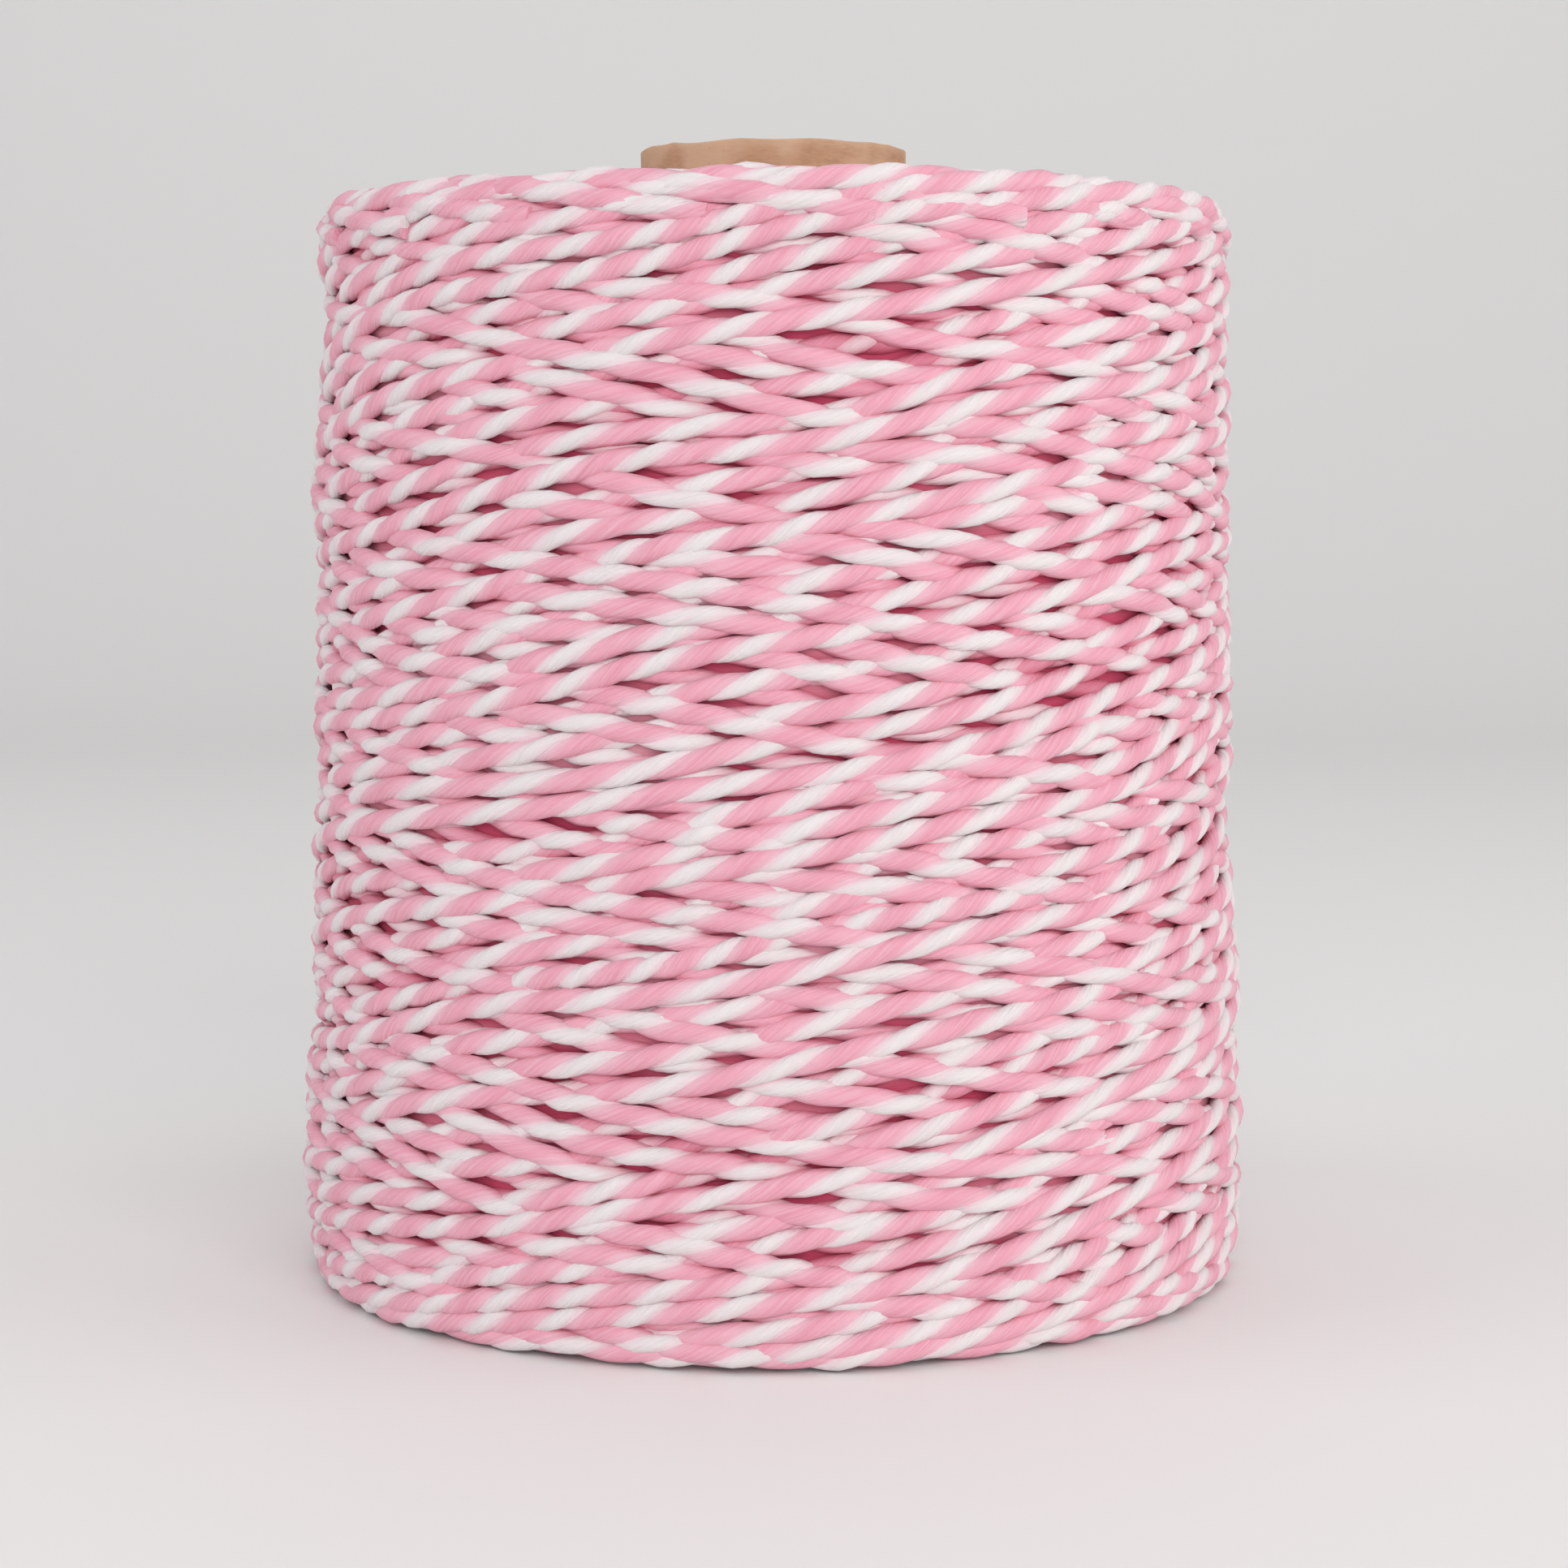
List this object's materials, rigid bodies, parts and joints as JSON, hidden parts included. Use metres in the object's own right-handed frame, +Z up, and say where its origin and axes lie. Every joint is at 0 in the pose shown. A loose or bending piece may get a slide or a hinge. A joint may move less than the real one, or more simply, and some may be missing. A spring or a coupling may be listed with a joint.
{
  "type": "roll of paper raffia twine",
  "caption": "Upright cylindrical roll of pink and white plied paper twine, cross-wound on a kraft card tube that stands out at the top.",
  "frame": {"origin": "middle of the roll's flat lower end, on the surface that it stands on", "axes": "+Z up along the tube, -Y towards the picture's camera"},
  "size_m": [0.0824, 0.0817, 0.0966],
  "materials": {
    "kraft_card": "matte, fine fibre mottling",
    "twine_pink": "matte twisted paper, fine lengthwise wrinkles",
    "twine_white": "matte twisted paper, fine lengthwise wrinkles"
  },
  "bodies": {
    "root": {"core": "kraft_card", "winding": "twine_pink"}
  },
  "joints": []
}
